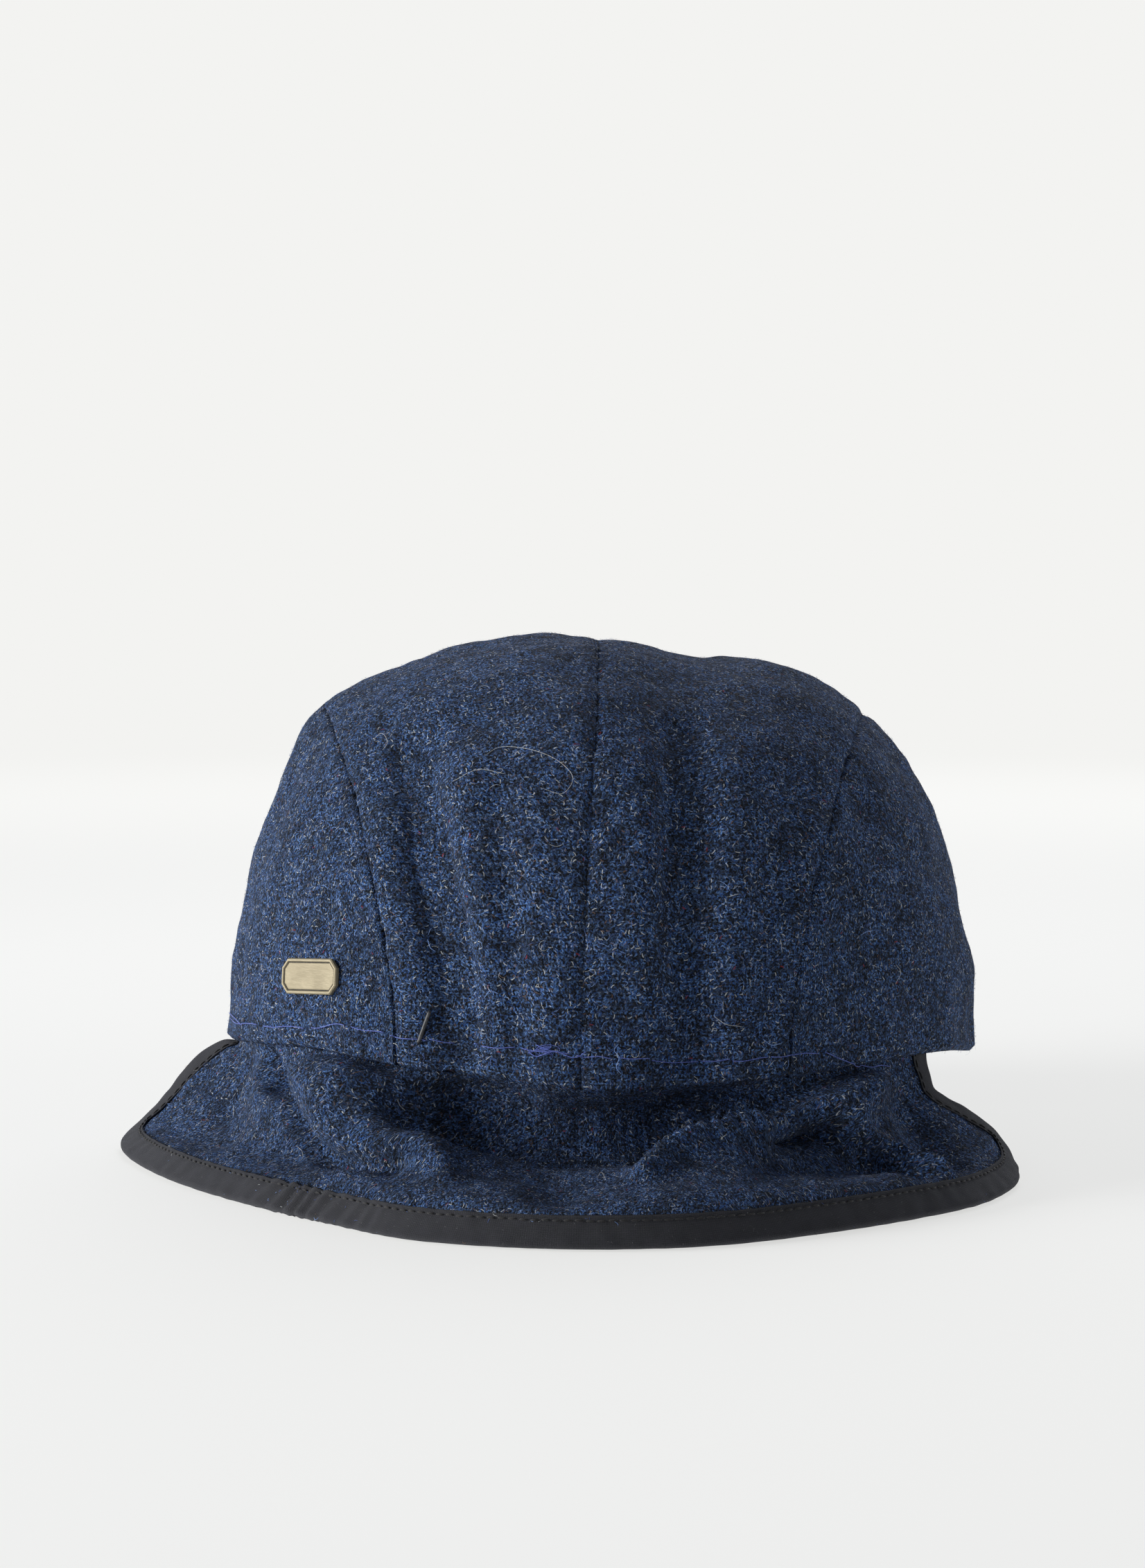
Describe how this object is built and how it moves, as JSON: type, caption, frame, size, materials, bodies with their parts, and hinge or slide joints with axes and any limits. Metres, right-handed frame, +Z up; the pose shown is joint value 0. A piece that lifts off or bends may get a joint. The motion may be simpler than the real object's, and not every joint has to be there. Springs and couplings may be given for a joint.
{
  "type": "wool cap with an ear and neck flap",
  "caption": "Soft panelled wool cap with a short front peak and a bound ear and neck flap turned out at the back, standing on its flap and peak.",
  "frame": {"origin": "middle of the part's bounding box, on the surface it stands on", "axes": "+Z up, +Y towards the peak, -Y the back with the flap, +X the right side seen from behind"},
  "size_m": [0.2242, 0.2946, 0.1305],
  "materials": {
    "wool": "milled wool, dark blue with paler and darker flecks",
    "tape": "plain woven black cotton tape",
    "plate": "aged satin brass",
    "thread": "soft blue sewing thread",
    "pin": "dull dark grey"
  },
  "bodies": {
    "root": {"crown_side_left": "wool", "crown_top_left": "wool", "crown_top_right": "wool", "crown_side_right": "wool", "ear_flap": "wool", "peak": "wool", "flap_binding": "tape", "badge": "plate"}
  },
  "joints": []
}
